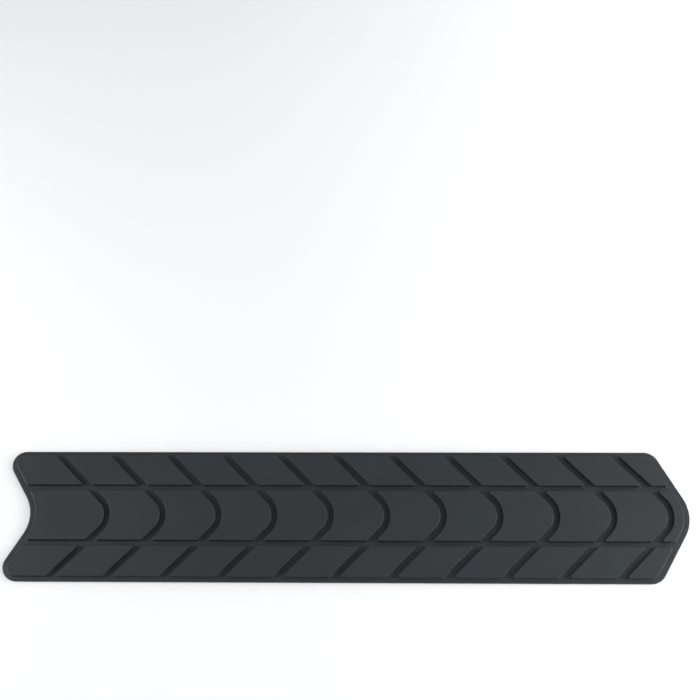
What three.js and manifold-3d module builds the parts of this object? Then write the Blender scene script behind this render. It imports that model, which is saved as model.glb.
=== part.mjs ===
// Stick-on rubber chainstay protector, moulded in one piece and lying flat on its bonding face.
// Sizes are in millimetres. The origin is in the middle of the flat underside, +X runs along the sheet
// to its arrow end, +Y runs across it, and +Z points up out of the tread.
import * as THREE from 'three';
import Module from 'manifold-3d';

const wasm = await Module();
wasm.setup();

const radians = THREE.MathUtils.degToRad;

// The thin sheet that carries the tread
const LENGTH = 258;
const WIDTH = 50;
const SHEET_THICKNESS = 1.2;
const RIM_ROUND = 0.4;

// Its ends: a V notch between two lobes, and an arrow tip between two shoulders
const NOTCH_RAKE = radians(31);
const NOTCH_RADIUS = 13.9;
const LOBE_RADIUS = 5.4;
const TIP_RAKE = radians(30);
const TIP_RADIUS = 14.2;
const SHOULDER_RADIUS = 6;

// Tread pads, which stand on the sheet inside a plain border
const PAD_HEIGHT = 1.6;
const PAD_DRAFT = radians(5);
const PAD_EDGE_ROUND = 0.3;
const PAD_CORNER_RADIUS = 0.6;
const SIDE_BORDER = 1.8;
const END_BORDER = 2.4;

// Two lengthwise grooves part the pads into three rows
const ROW_GROOVE_WIDTH = 2;
const ROW_GROOVE_CENTRE = 10.6;

// Chevron grooves cross all three rows; the end pads' lengths are measured on the middle line
const CHEVRON_COUNT = 11;
const CHEVRON_RAKE = radians(45);
const CHEVRON_WIDTH = 2.4;
const CHEVRON_RADIUS = 7.1;
const FIRST_PAD_LENGTH = 26.3;
const LAST_PAD_LENGTH = 3.7;

// Colour and sheen of the moulded rubber
const RUBBER_COLOUR = 0x3a3b3d;
const RUBBER_ROUGHNESS = 0.6;

// Facets: the angle that one flat spans on a long arc and on a small pad corner
const ARC_FACET = radians(7.5);
const CORNER_FACET = radians(45);

// Limits on the corners' arcs: the least radius, and the most of a side that its two arcs may take
const SMALLEST_RADIUS = 0.1;
const ARC_SHARE_OF_SIDE = 0.97;

// How far a pad's solid starts below the sheet's top face, as a share of the sheet
const ROOT_SHARE = 0.4;

const ROW_INNER_EDGE = ROW_GROOVE_CENTRE - ROW_GROOVE_WIDTH / 2;
const ROW_OUTER_EDGE = ROW_GROOVE_CENTRE + ROW_GROOVE_WIDTH / 2;
const TREAD_EDGE = WIDTH / 2 - SIDE_BORDER;

// A V line points along +X. Its two legs sweep back by the rake from a sharp apex on the middle line,
// and an arc of the given radius rounds the apex. cornerRadius rounds its meeting with a long side.

// How far the arc's nose lies behind the sharp apex
function noseSetback(radius, rake) {
  return radius * (1 / Math.cos(rake) - 1);
}

// V line whose rounded nose is at x
function vLine(x, rake, radius, cornerRadius) {
  return { apex: x + noseSetback(radius, rake), rake, radius, cornerRadius };
}

// V line moved along +X by a distance measured square to its legs, with its arc kept concentric
function shifted(line, distance) {
  return { ...line, apex: line.apex + distance / Math.cos(line.rake), radius: line.radius + distance };
}

function noseX(line) {
  return line.apex - noseSetback(line.radius, line.rake);
}

// Nose of the notch line, placed so that the lobes beside it end at -LENGTH / 2
function notchNoseX() {
  const lobeCentreY = WIDTH / 2 - LOBE_RADIUS;
  const lobeCentreX = -LENGTH / 2 + LOBE_RADIUS;
  const apex = lobeCentreX + lobeCentreY * Math.tan(NOTCH_RAKE) - LOBE_RADIUS / Math.cos(NOTCH_RAKE);
  return apex - noseSetback(NOTCH_RADIUS, NOTCH_RAKE);
}

function noseCorner(line) {
  return { point: new THREE.Vector2(line.apex, 0), radius: line.radius, facet: ARC_FACET };
}

// Corner where a V line meets a lengthwise line at y
function sideCorner(line, y) {
  const onLongSide = Math.abs(y) >= TREAD_EDGE;
  return {
    point: new THREE.Vector2(line.apex - Math.abs(y) * Math.tan(line.rake), y),
    radius: onLongSide ? line.cornerRadius : PAD_CORNER_RADIUS,
    facet: onLongSide && line.cornerRadius > PAD_CORNER_RADIUS ? ARC_FACET : CORNER_FACET,
  };
}

// Anticlockwise corners of the area between two V lines and two lengthwise lines
function cornersBetween(left, right, low, high) {
  const crossesMiddle = low < 0 && high > 0;
  const corners = [
    sideCorner(left, low),
    sideCorner(right, low),
    ...(crossesMiddle ? [noseCorner(right)] : []),
    sideCorner(right, high),
    sideCorner(left, high),
    ...(crossesMiddle ? [noseCorner(left)] : []),
  ];
  return corners.map((corner, i) => {
    const turn = Math.abs(measureCorner(corners, i).turn);
    return { ...corner, steps: Math.max(1, Math.round(turn / corner.facet)) };
  });
}

// The sides' directions before and after a corner, as seen going round the outline
function measureCorner(corners, i) {
  const before = corners.at(i - 1).point;
  const here = corners[i].point;
  const after = corners[(i + 1) % corners.length].point;
  const arriving = here.clone().sub(before);
  const leaving = after.clone().sub(here);
  const turn = Math.atan2(arriving.cross(leaving), arriving.dot(leaving));
  const normal = new THREE.Vector2(-arriving.y, arriving.x).normalize();
  const nextNormal = new THREE.Vector2(-leaving.y, leaving.x).normalize();
  const mitre = normal.clone().add(nextNormal).divideScalar(1 + normal.dot(nextNormal));
  return { turn, normal, mitre, sideLength: leaving.length() };
}

// Outline with each side moved inwards, which tightens outer corners and opens inner ones
function inset(corners, distance) {
  return corners.map((corner, i) => {
    const { turn, mitre } = measureCorner(corners, i);
    return {
      ...corner,
      point: corner.point.clone().addScaledVector(mitre, distance),
      radius: Math.max(SMALLEST_RADIUS, corner.radius - Math.sign(turn) * distance),
    };
  });
}

// Points of an outline with an arc at each corner, made smaller where two arcs would meet on a side
function roundedOutline(corners) {
  const measured = corners.map((corner, i) => measureCorner(corners, i));
  const reach = measured.map(({ turn }, i) => corners[i].radius * Math.tan(Math.abs(turn) / 2));
  const room = measured.map(({ sideLength }, i) => (
    ARC_SHARE_OF_SIDE * sideLength / (reach[i] + reach[(i + 1) % corners.length])
  ));
  return corners.flatMap((corner, i) => {
    const { turn, normal, mitre } = measured[i];
    const radius = corner.radius * Math.min(1, room[i], room.at(i - 1));
    const towards = Math.sign(turn) * radius;
    const centre = corner.point.clone().addScaledVector(mitre, towards);
    return Array.from({ length: corner.steps + 1 }, (_, step) => {
      const spoke = normal.clone().rotateAround(new THREE.Vector2(), turn * step / corner.steps);
      return centre.clone().addScaledVector(spoke, -towards);
    });
  });
}

// Closed solid through rings of equal point counts, from the lowest to the highest
function loft(rings) {
  const count = rings[0].points.length;
  const top = (rings.length - 1) * count;
  const positions = rings.flatMap(({ points, z }) => points.flatMap((point) => [point.x, point.y, z]));
  const triangles = [];
  for (let start = 0; start < top; start += count) {
    for (let i = 0; i < count; i++) {
      const here = start + i;
      const next = start + (i + 1) % count;
      triangles.push(here, next, next + count, here, next + count, here + count);
    }
  }
  for (const [a, b, c] of THREE.ShapeUtils.triangulateShape(rings[0].points, [])) {
    triangles.push(a, c, b);
  }
  for (const [a, b, c] of THREE.ShapeUtils.triangulateShape(rings.at(-1).points, [])) {
    triangles.push(top + a, top + b, top + c);
  }
  return new wasm.Manifold(new wasm.Mesh({
    numProp: 3,
    vertProperties: new Float32Array(positions),
    triVerts: new Uint32Array(triangles),
  }));
}

// Rings of an edge rounded through a quarter turn, from the upright wall at foot to the flat top
function edgeRings(corners, foot, round) {
  return [0, 45, 90].map((degrees) => {
    const angle = radians(degrees);
    return {
      points: roundedOutline(inset(corners, round * (1 - Math.cos(angle)))),
      z: foot + round * Math.sin(angle),
    };
  });
}

function makeSheet(notch, tip) {
  const outline = cornersBetween(notch, tip, -WIDTH / 2, WIDTH / 2);
  return loft([
    { points: roundedOutline(outline), z: 0 },
    ...edgeRings(outline, SHEET_THICKNESS - RIM_ROUND, RIM_ROUND),
  ]);
}

// One pad: walls leaning in by the draft up to a rounded top edge, with its root inside the sheet
function makePad(outline) {
  const root = SHEET_THICKNESS * (1 - ROOT_SHARE);
  const shoulder = SHEET_THICKNESS + PAD_HEIGHT - PAD_EDGE_ROUND;
  const spread = (shoulder - root) * Math.tan(PAD_DRAFT);
  return loft([
    { points: roundedOutline(inset(outline, -spread)), z: root },
    ...edgeRings(outline, shoulder, PAD_EDGE_ROUND),
  ]);
}

// The left sides of the chevron grooves, evenly spaced between the two end pads
function chevronLines(treadStart, treadEnd) {
  const first = noseX(treadStart) + FIRST_PAD_LENGTH;
  const last = noseX(treadEnd) - LAST_PAD_LENGTH - CHEVRON_WIDTH;
  const pitch = (last - first) / (CHEVRON_COUNT - 1);
  return Array.from({ length: CHEVRON_COUNT }, (_, i) => (
    vLine(first + i * pitch, CHEVRON_RAKE, CHEVRON_RADIUS, PAD_CORNER_RADIUS)
  ));
}

function makeProtector() {
  const notch = vLine(notchNoseX(), NOTCH_RAKE, NOTCH_RADIUS, LOBE_RADIUS);
  const tip = vLine(LENGTH / 2, TIP_RAKE, TIP_RADIUS, SHOULDER_RADIUS);
  const treadStart = { ...shifted(notch, END_BORDER), cornerRadius: LOBE_RADIUS - END_BORDER };
  const treadEnd = { ...shifted(tip, -END_BORDER), cornerRadius: SHOULDER_RADIUS - END_BORDER };
  const chevrons = chevronLines(treadStart, treadEnd);
  const leftSides = [treadStart, ...chevrons.map((line) => shifted(line, CHEVRON_WIDTH))];
  const rightSides = [...chevrons, treadEnd];
  const rows = [
    [-TREAD_EDGE, -ROW_OUTER_EDGE],
    [-ROW_INNER_EDGE, ROW_INNER_EDGE],
    [ROW_OUTER_EDGE, TREAD_EDGE],
  ];
  const pads = rows.flatMap(([low, high]) => (
    leftSides.map((left, i) => makePad(cornersBetween(left, rightSides[i], low, high)))
  ));
  return pads.reduce((solid, pad) => solid.add(pad), makeSheet(notch, tip));
}

function toGeometry(solid) {
  const { vertProperties, triVerts } = solid.getMesh();
  const geometry = new THREE.BufferGeometry();
  geometry.setAttribute('position', new THREE.BufferAttribute(vertProperties, 3));
  geometry.setIndex(new THREE.BufferAttribute(triVerts, 1));
  geometry.computeVertexNormals();
  return geometry;
}

const rubber = new THREE.MeshStandardMaterial({
  color: RUBBER_COLOUR,
  roughness: RUBBER_ROUGHNESS,
  metalness: 0,
});

const protector = new THREE.Mesh(toGeometry(makeProtector()), rubber);
protector.name = 'protector';

const group = new THREE.Group();
group.add(protector);

export default group;
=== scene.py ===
# %% [markdown]
# A rubber chainstay protector, laid flat
#
# The real thing is one moulding of black rubber: a thin sheet with a plain border, and on it three rows
# of low tread pads parted by chevron grooves. The pads take the knocks, and the grooves let it bend. Here
# it lies flat on a pale table. The CAD frame comes first, because it fixes the place and the size of all
# the rest.

# %% Load the frame
import math

import bmesh
import bpy
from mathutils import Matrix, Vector


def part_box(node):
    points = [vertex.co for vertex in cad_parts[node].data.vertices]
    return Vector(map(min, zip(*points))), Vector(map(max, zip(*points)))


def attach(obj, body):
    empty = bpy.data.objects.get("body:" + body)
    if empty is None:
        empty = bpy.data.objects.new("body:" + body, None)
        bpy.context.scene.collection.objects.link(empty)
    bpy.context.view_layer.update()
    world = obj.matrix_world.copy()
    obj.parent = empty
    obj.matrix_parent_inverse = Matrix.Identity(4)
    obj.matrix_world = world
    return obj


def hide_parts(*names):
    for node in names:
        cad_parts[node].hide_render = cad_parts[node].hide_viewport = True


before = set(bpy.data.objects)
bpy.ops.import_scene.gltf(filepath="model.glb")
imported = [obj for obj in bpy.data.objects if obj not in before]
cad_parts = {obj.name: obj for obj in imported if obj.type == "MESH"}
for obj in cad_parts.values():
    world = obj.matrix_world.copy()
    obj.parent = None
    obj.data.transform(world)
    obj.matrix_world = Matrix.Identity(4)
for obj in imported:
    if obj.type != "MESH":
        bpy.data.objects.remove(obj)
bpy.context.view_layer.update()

MM = 0.001

# %% [markdown]
# Sizes
#
# A mould maker would be given the outline of the sheet, the height of the pads and the widths of the
# grooves, and would work out the rest. The overall sizes are read from the frame, so the finished mesh
# can't drift from the CAD. The rest are named values in metres, written as so many times a millimetre.

# %% Sizes of the sheet and its tread
box_low, box_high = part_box("protector")
LENGTH = box_high.x - box_low.x
WIDTH = box_high.y - box_low.y
TOP = box_high.z

SHEET = 1.2 * MM
RIM_ROUND = 0.4 * MM

NOTCH_RAKE = math.radians(31)
NOTCH_RADIUS = 13.9 * MM
LOBE_RADIUS = 5.4 * MM
TIP_RAKE = math.radians(30)
TIP_RADIUS = 14.2 * MM
SHOULDER_RADIUS = 6 * MM

PAD_DRAFT = math.radians(5)
PAD_EDGE_ROUND = 0.3 * MM
PAD_FOOT_ROUND = 0.25 * MM
PAD_CORNER_RADIUS = 0.6 * MM
SIDE_BORDER = 1.8 * MM
END_BORDER = 2.4 * MM

ROW_GROOVE_WIDTH = 2 * MM
ROW_GROOVE_CENTRE = 10.6 * MM

CHEVRON_COUNT = 11
CHEVRON_RAKE = math.radians(45)
CHEVRON_WIDTH = 2.4 * MM
CHEVRON_RADIUS = 7.1 * MM
FIRST_PAD_LENGTH = 26.3 * MM
LAST_PAD_LENGTH = 3.7 * MM

ROW_INNER_EDGE = ROW_GROOVE_CENTRE - ROW_GROOVE_WIDTH / 2
ROW_OUTER_EDGE = ROW_GROOVE_CENTRE + ROW_GROOVE_WIDTH / 2
TREAD_EDGE = WIDTH / 2 - SIDE_BORDER
print("pads rise", round((TOP - SHEET) / MM, 2), "mm above the sheet")

# %% [markdown]
# The camera
#
# The photograph was taken from almost straight above, from a little to the near side and a little right
# of the middle. A camera could be turned by eye until it looks about right, but a small error in its tilt
# shows as grooves that are too wide. So the place and the turns below were found by lining up the long
# edges, both ends and the grooves with the photograph, and the lens needs no shift.

# %% Camera
CAMERA_PLACE = Vector((15.8, -102.7, 474.7)) * MM
CAMERA_TILT = math.radians(19.69)
CAMERA_YAW = math.radians(1.61)
CAMERA_ROLL = math.radians(0.52)
CAMERA_LENS = 65.42
CAMERA_CLIP = 10 * MM


def add_camera():
    bpy.ops.object.camera_add(location=CAMERA_PLACE, rotation=(CAMERA_TILT, CAMERA_YAW, CAMERA_ROLL))
    camera = bpy.context.object
    camera.name = "table_camera"
    camera.data.lens = CAMERA_LENS
    camera.data.clip_start = CAMERA_CLIP
    bpy.context.scene.camera = camera
    return camera


camera = add_camera()
print("camera at", [round(v / MM) for v in camera.location], "mm, lens", camera.data.lens, "mm")

# %% [markdown]
# V lines
#
# The notch, the tip and both sides of every chevron groove are the same kind of line: a V that points
# along +X, with two straight legs and an arc at its nose. If such a line is described once, by its apex,
# its rake and its radius, then a border or a groove is only the same line moved along. The arc stays
# concentric, so a groove keeps its width round the bend, as it does when a mould is cut with one tool.

# %% V lines


def nose_setback(radius, rake):
    """How far the arc's nose lies behind the sharp apex."""
    return radius * (1 / math.cos(rake) - 1)


def v_line(nose, rake, radius, corner=PAD_CORNER_RADIUS):
    """A V line by its nose, with the radius where it meets a long side."""
    return {"apex": nose + nose_setback(radius, rake), "rake": rake, "radius": radius, "corner": corner}


def shifted(line, distance, corner=PAD_CORNER_RADIUS):
    """The line moved along +X by a distance measured square to its legs."""
    apex = line["apex"] + distance / math.cos(line["rake"])
    return {"apex": apex, "rake": line["rake"], "radius": line["radius"] + distance, "corner": corner}


def nose_of(line):
    return line["apex"] - nose_setback(line["radius"], line["rake"])


lobe_centre = Vector((LOBE_RADIUS - LENGTH / 2, WIDTH / 2 - LOBE_RADIUS))
notch_apex = lobe_centre.x + lobe_centre.y * math.tan(NOTCH_RAKE) - LOBE_RADIUS / math.cos(NOTCH_RAKE)
notch = v_line(notch_apex - nose_setback(NOTCH_RADIUS, NOTCH_RAKE), NOTCH_RAKE, NOTCH_RADIUS, LOBE_RADIUS)
tip = v_line(LENGTH / 2, TIP_RAKE, TIP_RADIUS, SHOULDER_RADIUS)

tread_start = shifted(notch, END_BORDER, LOBE_RADIUS - END_BORDER)
tread_end = shifted(tip, -END_BORDER, SHOULDER_RADIUS - END_BORDER)
first_chevron = nose_of(tread_start) + FIRST_PAD_LENGTH
last_chevron = nose_of(tread_end) - LAST_PAD_LENGTH - CHEVRON_WIDTH
CHEVRON_PITCH = (last_chevron - first_chevron) / (CHEVRON_COUNT - 1)
print("chevrons every", round(CHEVRON_PITCH / MM, 2), "mm")

# %% [markdown]
# Corners of an outline
#
# Sheet and pads have the same kind of outline: a ring of corners, each with its own radius. Scaling an
# outline would make it smaller too, but the border would come out uneven. Here each corner slides along its
# mitre, an outer corner's radius shrinks, and an inner corner's radius grows, so the border stays even.

# %% Corners


def corners_between(left, right, low, high):
    """Anticlockwise corners of the area between two V lines and two lengthwise lines."""

    def side(line, y):
        radius = line["corner"] if abs(y) >= TREAD_EDGE else PAD_CORNER_RADIUS
        return Vector((line["apex"] - abs(y) * math.tan(line["rake"]), y)), radius

    def nose(line):
        return Vector((line["apex"], 0)), line["radius"]

    near_side = [side(left, low), side(right, low)]
    far_side = [side(right, high), side(left, high)]
    if low < 0 < high:
        return [*near_side, nose(right), *far_side, nose(left)]
    return near_side + far_side


def measure_corner(corners, i):
    """The turn at a corner, the inward normal of the side that arrives, and the mitre."""
    here = corners[i][0]
    arriving = here - corners[i - 1][0]
    leaving = corners[(i + 1) % len(corners)][0] - here
    turn = math.atan2(arriving.x * leaving.y - arriving.y * leaving.x, arriving.dot(leaving))
    normal = Vector((-arriving.y, arriving.x)).normalized()
    next_normal = Vector((-leaving.y, leaving.x)).normalized()
    return turn, normal, (normal + next_normal) / (1 + normal.dot(next_normal))


def inset_corners(corners, distance):
    """The whole outline moved inwards, or outwards by a negative distance."""
    moved = []
    for i, (point, radius) in enumerate(corners):
        turn, _, mitre = measure_corner(corners, i)
        moved.append((point + mitre * distance, radius - math.copysign(1, turn) * distance))
    return moved


sheet_outline = corners_between(notch, tip, -WIDTH / 2, WIDTH / 2)
print("the outline of the sheet has", len(sheet_outline), "corners")

# %% [markdown]
# Drawing an outline
#
# An outline could be typed in as a long list of points. It is drawn here as a draughtsman does it, with
# one vertex: extruded along each straight side, and spun about the centre of each corner. The ring is
# then closed and filled with one face. The arcs are true circles, whatever the angle of the corner.

# %% Draw an outline
FACET = math.radians(3.75)
SMALL_RADIUS = 2 * MM
SMALL_FACET = math.radians(15)
LEAST_FACETS = 2
START_PLANE = 1 * MM
MERGE_DISTANCE = 0.002 * MM


def leave_all():
    if bpy.context.mode != "OBJECT":
        bpy.ops.object.mode_set(mode="OBJECT")
    bpy.ops.object.select_all(action="DESELECT")


def one_vertex(name, place):
    """A mesh object with a single selected vertex, left in edit mode."""
    leave_all()
    bpy.ops.mesh.primitive_plane_add(size=START_PLANE, enter_editmode=True)
    bpy.context.object.name = name
    bpy.ops.mesh.select_mode(type="VERT")
    bpy.ops.mesh.select_all(action="SELECT")
    bpy.ops.mesh.merge(type="CENTER")
    bpy.ops.transform.translate(value=place)
    return bpy.context.object


def draw_outline(name, corners, z):
    """A flat face at height z, with an arc at each corner."""
    lift = Vector((0, 0, z))
    arcs = []
    starts = []
    for i, (point, radius) in enumerate(corners):
        turn, normal, mitre = measure_corner(corners, i)
        towards = math.copysign(radius, turn)
        centre = point + mitre * towards
        arcs.append((turn, radius, centre.to_3d() + lift))
        starts.append((centre - normal * towards).to_3d() + lift)
    obj = one_vertex(name, starts[0])
    for i, (turn, radius, centre) in enumerate(arcs):
        facet = SMALL_FACET if radius < SMALL_RADIUS else FACET
        steps = max(LEAST_FACETS, round(abs(turn) / facet))
        bpy.ops.mesh.spin(steps=steps, angle=turn, center=centre, axis=(0, 0, -1))
        mesh = bmesh.from_edit_mesh(obj.data)
        pen = next(v.co.copy() for v in mesh.verts if v.select)
        ahead = starts[(i + 1) % len(starts)]
        bpy.ops.mesh.extrude_vertices_move(TRANSFORM_OT_translate={"value": ahead - pen})
    bpy.ops.mesh.select_all(action="SELECT")
    bpy.ops.mesh.remove_doubles(threshold=MERGE_DISTANCE)
    bpy.ops.mesh.edge_face_add()
    bpy.ops.mesh.select_mode(type="FACE")
    bpy.ops.mesh.select_all(action="SELECT")
    face = bmesh.from_edit_mesh(obj.data).faces[0]
    if face.normal.z < 0:
        bpy.ops.mesh.flip_normals()
    return obj


def build_up(steps):
    """Raise the selected face ring by ring: each step goes in by a distance and up by a height."""
    for inwards, upwards in steps:
        bpy.ops.mesh.inset(thickness=inwards, depth=upwards, use_even_offset=True, use_boundary=True)


print("arcs turn", round(math.degrees(FACET), 2), "degrees a facet, small ones",
      round(math.degrees(SMALL_FACET), 2))

# %% [markdown]
# The edge profile
#
# Moulded rubber has no sharp edges. A pad rises from the groove floor through a small hollow fillet,
# leans in by the draft that lets it leave the mould, and turns over a round top edge. These steps could
# come from a bevel, but the bevel would also round the flat outline. Ring by ring gives each part of the
# profile its own size: every ring is an inset that also climbs.

# %% Edge profiles
FOOT_RINGS = 3
EDGE_RINGS = 3


def steps_between(points):
    """Pairs of inset and rise that lead from each point of a profile to the next."""
    return [(b[0] - a[0], b[1] - a[1]) for a, b in zip(points, points[1:])]


def arc_points(radius, angles):
    """How far along and how high an arc that starts level has come at each angle."""
    return [(radius * math.sin(a), radius * (1 - math.cos(a))) for a in angles]


def pad_profile():
    """Steps from the groove floor up to the flat top of a pad, and how far its foot spreads."""
    lean = math.pi / 2 - PAD_DRAFT
    rise = TOP - SHEET
    foot = [lean * i / FOOT_RINGS for i in range(FOOT_RINGS + 1)]
    edge = [lean * (1 - i / EDGE_RINGS) for i in range(EDGE_RINGS + 1)]
    points = arc_points(PAD_FOOT_ROUND, foot)
    wall_start, wall_low = points[-1]
    wall_rise = rise - PAD_EDGE_ROUND * (1 - math.cos(lean)) - wall_low
    flat = wall_start + wall_rise * math.tan(PAD_DRAFT) + PAD_EDGE_ROUND * math.sin(lean)
    points += [(flat - along, rise - drop) for along, drop in arc_points(PAD_EDGE_ROUND, edge)]
    return steps_between(points), flat - PAD_EDGE_ROUND


def quarter_round(radius, rings):
    """Steps from an upright wall over a round edge to a flat top."""
    angles = [math.pi / 2 * i / rings for i in range(rings + 1)]
    return steps_between([(radius * (1 - math.cos(a)), radius * math.sin(a)) for a in angles])


PAD_STEPS, PAD_SPREAD = pad_profile()
print("a pad's foot stands", round(PAD_SPREAD / MM, 3), "mm outside its outline at the shoulder")

# %% [markdown]
# The sheet
#
# The base is a plain sheet with a round rim, so that nothing catches on it. It could be a stretched box
# with its ends cut off, but the notch and the lobes are arcs. So it is drawn at its full outline, extruded
# up and built in over the rim. Its top face is then taken out, because the floor is made last.

# %% Sheet


def make_sheet():
    sheet = draw_outline("rubber_sheet", sheet_outline, 0)
    bpy.ops.mesh.extrude_region_move(TRANSFORM_OT_translate={"value": (0, 0, SHEET - RIM_ROUND)})
    build_up(quarter_round(RIM_ROUND, EDGE_RINGS))
    bpy.ops.mesh.delete(type="ONLY_FACE")
    leave_all()
    return sheet


sheet = make_sheet()
print("sheet has", len(sheet.data.vertices), "vertices")

# %% [markdown]
# The pads
#
# There are nine kinds of pad: the first, the repeated and the last pad in each of the three rows. Grooves
# could be cut out of one thick block, as a mould maker cuts their opposite, but cuts leave ragged faces
# where two of them cross. So each kind of pad is modelled once, and the repeated ones are copied along the
# sheet at the pitch of the chevrons, each copy with a mesh of its own.

# %% Pads
ROWS = {
    "near": (-TREAD_EDGE, -ROW_OUTER_EDGE),
    "middle": (-ROW_INNER_EDGE, ROW_INNER_EDGE),
    "far": (ROW_OUTER_EDGE, TREAD_EDGE),
}


def make_pad(name, left, right, row):
    outline = inset_corners(corners_between(left, right, *ROWS[row]), -PAD_SPREAD)
    pad = draw_outline(name, outline, SHEET)
    build_up(PAD_STEPS)
    leave_all()
    return pad


def copy_along(obj, count, pitch):
    """Copies of an object along X, each with its own mesh."""
    copies = []
    for i in range(1, count):
        leave_all()
        obj.select_set(True)
        bpy.context.view_layer.objects.active = obj
        bpy.ops.object.duplicate(linked=False)
        bpy.ops.transform.translate(value=(i * pitch, 0, 0))
        bpy.ops.object.transform_apply(location=True, rotation=True, scale=True)
        copies.append(bpy.context.object)
    return copies


pads = []
for row in ROWS:
    groove = v_line(first_chevron, CHEVRON_RAKE, CHEVRON_RADIUS)
    next_groove = v_line(first_chevron + CHEVRON_PITCH, CHEVRON_RAKE, CHEVRON_RADIUS)
    last_groove = v_line(last_chevron, CHEVRON_RAKE, CHEVRON_RADIUS)
    first = make_pad(f"{row}_first_pad", tread_start, groove, row)
    repeated = make_pad(f"{row}_pad", shifted(groove, CHEVRON_WIDTH), next_groove, row)
    last = make_pad(f"{row}_last_pad", shifted(last_groove, CHEVRON_WIDTH), tread_end, row)
    pads += [first, repeated, *copy_along(repeated, CHEVRON_COUNT - 1, CHEVRON_PITCH), last]
print(len(pads), "pads")

# %% [markdown]
# One moulding
#
# Sheet and pads are one piece of rubber. The pads could just stand on the sheet, but then a seam would
# show at every foot. So all of it is joined, and the floor of the grooves is filled in between the open
# rings. The fillets at the feet then flow into the floor. Weighted normals keep the wide flat faces flat to
# the eye.

# %% Join and fill the floor


def join_moulding(sheet, pads):
    leave_all()
    for obj in [*pads, sheet]:
        obj.select_set(True)
    bpy.context.view_layer.objects.active = sheet
    bpy.ops.object.join()
    sheet.name = "protector_moulding"
    bpy.ops.object.mode_set(mode="EDIT")
    bpy.ops.mesh.select_mode(type="EDGE")
    bpy.ops.mesh.select_all(action="DESELECT")
    bpy.ops.mesh.select_non_manifold(extend=False, use_wire=False, use_boundary=True, use_multi_face=False,
                                     use_non_contiguous=False, use_verts=False)
    bpy.ops.mesh.fill(use_beauty=True)
    bpy.ops.mesh.select_all(action="SELECT")
    bpy.ops.mesh.normals_make_consistent(inside=False)
    bpy.ops.object.mode_set(mode="OBJECT")
    bpy.ops.object.shade_smooth()
    weighted = sheet.modifiers.new("weighted_normals", "WEIGHTED_NORMAL")
    weighted.mode = "FACE_AREA"
    bpy.ops.object.modifier_apply(modifier=weighted.name)
    return sheet


moulding = join_moulding(sheet, pads)
mesh = bmesh.new()
mesh.from_mesh(moulding.data)
open_edges = [e for e in mesh.edges if not e.is_manifold]
print("moulding:", len(mesh.faces), "faces,", len(open_edges), "open edges, volume",
      round(mesh.calc_volume() / MM**3), "mm3")
mesh.free()

# %% [markdown]
# Black rubber
#
# The real rubber is black with a cool cast. It is matt with a soft sheen, because it takes the fine
# blasted grain of its mould. One flat colour would look like painted card, so three layers of noise are
# used, each at the size it has on the real thing: a wide, faint change of tone, patches that are a little
# duller or glossier, and a grain of a few tenths of a millimetre that only tilts the surface. The noise
# reads Object coordinates, so it stays in the rubber when the camera moves.

# %% Rubber
RUBBER_DEEP = (0.0070, 0.0119, 0.0161, 1)
RUBBER_PALE = (0.0086, 0.0145, 0.0195, 1)
TONE_PATCH = 35 * MM
TONE_DETAIL = 3
SHEEN_PATCH = 6 * MM
SHEEN_DETAIL = 4
SHEEN_RANGE = (0.57, 0.64)
GRAIN = 0.4 * MM
GRAIN_DETAIL = 2
GRAIN_DEPTH = 0.035 * MM
NOISE_MIDDLE = (0.35, 0.65)


def add_noise(tree, feature, detail):
    """Noise on Object coordinates whose spots are about as wide as the feature."""
    coordinates = tree.nodes.new("ShaderNodeTexCoord")
    noise = tree.nodes.new("ShaderNodeTexNoise")
    noise.inputs["Scale"].default_value = 1 / feature
    noise.inputs["Detail"].default_value = detail
    tree.links.new(coordinates.outputs["Object"], noise.inputs["Vector"])
    return noise.outputs["Fac"]


def tone_by_noise(tree, feature, detail, deep, pale):
    """A colour that wanders between two tones."""
    tone = tree.nodes.new("ShaderNodeValToRGB")
    for stop, place, colour in zip(tone.color_ramp.elements, NOISE_MIDDLE, (deep, pale)):
        stop.position = place
        stop.color = colour
    tree.links.new(add_noise(tree, feature, detail), tone.inputs["Fac"])
    return tone.outputs["Color"]


def make_rubber():
    material = bpy.data.materials.new("moulded_black_rubber")
    material.use_nodes = True
    tree = material.node_tree
    shader = tree.nodes["Principled BSDF"]

    tone = tone_by_noise(tree, TONE_PATCH, TONE_DETAIL, RUBBER_DEEP, RUBBER_PALE)
    tree.links.new(tone, shader.inputs["Base Color"])

    sheen = tree.nodes.new("ShaderNodeMapRange")
    sheen.inputs["From Min"].default_value, sheen.inputs["From Max"].default_value = NOISE_MIDDLE
    sheen.inputs["To Min"].default_value, sheen.inputs["To Max"].default_value = SHEEN_RANGE
    tree.links.new(add_noise(tree, SHEEN_PATCH, SHEEN_DETAIL), sheen.inputs["Value"])
    tree.links.new(sheen.outputs["Result"], shader.inputs["Roughness"])

    grain = tree.nodes.new("ShaderNodeBump")
    grain.inputs["Distance"].default_value = GRAIN_DEPTH
    tree.links.new(add_noise(tree, GRAIN, GRAIN_DETAIL), grain.inputs["Height"])
    tree.links.new(grain.outputs["Normal"], shader.inputs["Normal"])
    return material


rubber = make_rubber()
moulding.data.materials.clear()
moulding.data.materials.append(rubber)
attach(moulding, "root")
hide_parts("protector")
print("rubber has", len(rubber.node_tree.nodes), "nodes")

# %% [markdown]
# The table
#
# The photograph shows the rubber on white with a faint cool cast. A large pale plane stands for the table,
# a hair below the underside, so that two flat faces never lie in the same place. It is staging and no part
# of the object. Even paper isn't all one white, so a wide noise moves its tone by two hundredths.

# %% Table
TABLE_SIZE = 6
TABLE_GAP = 0.05 * MM
PAPER_DULL = (0.88, 0.895, 0.91, 1)
PAPER_WHITE = (0.90, 0.915, 0.93, 1)
PAPER_PATCH = 200 * MM
PAPER_DETAIL = 2
PAPER_ROUGHNESS = 0.8


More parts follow.
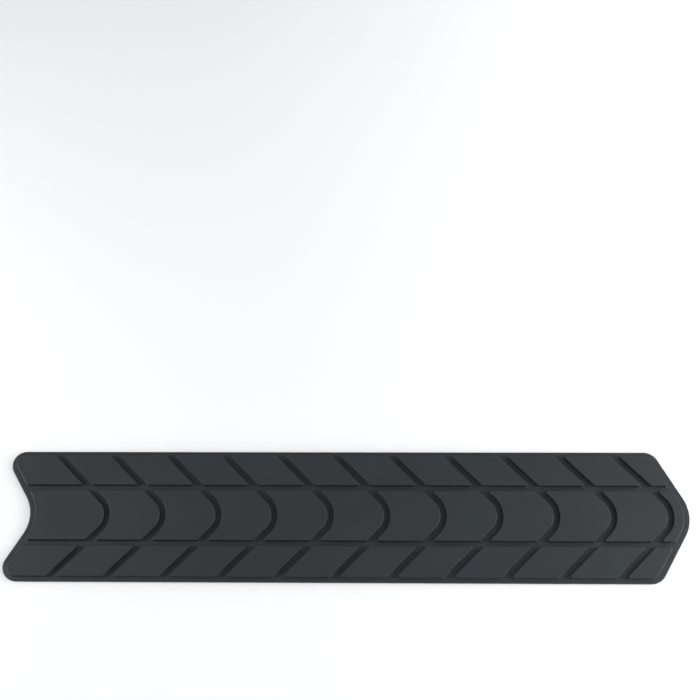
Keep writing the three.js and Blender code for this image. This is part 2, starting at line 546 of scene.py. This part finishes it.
def make_table():
    leave_all()
    bpy.ops.mesh.primitive_plane_add(size=TABLE_SIZE, location=(0, 0, -TABLE_GAP))
    table = bpy.context.object
    table.name = "pale_table"
    paper = bpy.data.materials.new("pale_paper")
    paper.use_nodes = True
    shader = paper.node_tree.nodes["Principled BSDF"]
    tone = tone_by_noise(paper.node_tree, PAPER_PATCH, PAPER_DETAIL, PAPER_DULL, PAPER_WHITE)
    paper.node_tree.links.new(tone, shader.inputs["Base Color"])
    shader.inputs["Roughness"].default_value = PAPER_ROUGHNESS
    table.data.materials.append(paper)
    return table


table = make_table()
print("table", TABLE_SIZE, "m square,", round(TABLE_GAP / MM, 2), "mm below the rubber")

# %% [markdown]
# The light
#
# In the photograph the pads are lighter towards both ends, and most of all at the arrow. The groove walls
# that face the middle are dark. So the strongest light comes in low from beyond the two ends, and the rest
# of the studio is pale all round. Each lamp was first rendered alone. Light adds up, so the powers below
# could then be worked out together from the brightness of the pads and the table in the photograph. The
# lamps are hidden from the camera, because from a low side they would stand in the picture.

# %% Light
STUDIO_COLOUR = (1, 1, 1, 1)
STUDIO_BRIGHTNESS = 0.45

# Name, place and size in metres, and power in watts.
SOFTBOXES = (
    ("left_low", (-0.45, 0, 0.18), (0.1, 0.3), 1.48),
    ("right_low", (0.45, 0, 0.18), (0.1, 0.3), 1.28),
    ("right_near", (0.3, 0, 0.2), (0.15, 0.4), 0.18),
    ("right_front", (0.3, -0.3, 0.16), (0.3, 0.2), 0.65),
    ("right_back", (0.3, 0.3, 0.16), (0.3, 0.2), 0.57),
)


def add_studio():
    world = bpy.data.worlds.new("pale_studio")
    bpy.context.scene.world = world
    world.use_nodes = True
    background = world.node_tree.nodes["Background"]
    background.inputs["Color"].default_value = STUDIO_COLOUR
    background.inputs["Strength"].default_value = STUDIO_BRIGHTNESS


def add_softbox(name, place, size, power):
    """A soft rectangular lamp, turned towards the middle of the sheet."""
    bpy.ops.object.light_add(type="AREA", location=place)
    lamp = bpy.context.object
    lamp.name = name
    lamp.data.shape = "RECTANGLE"
    lamp.data.size, lamp.data.size_y = size
    lamp.data.energy = power
    lamp.visible_camera = False
    lamp.rotation_euler = Vector(place).to_track_quat("Z", "Y").to_euler()
    return lamp


add_studio()
softboxes = [add_softbox(*softbox) for softbox in SOFTBOXES]
bpy.context.scene.view_settings.view_transform = "Standard"
print(len(softboxes), "lamps,", round(sum(lamp.data.energy for lamp in softboxes), 2), "W in all")
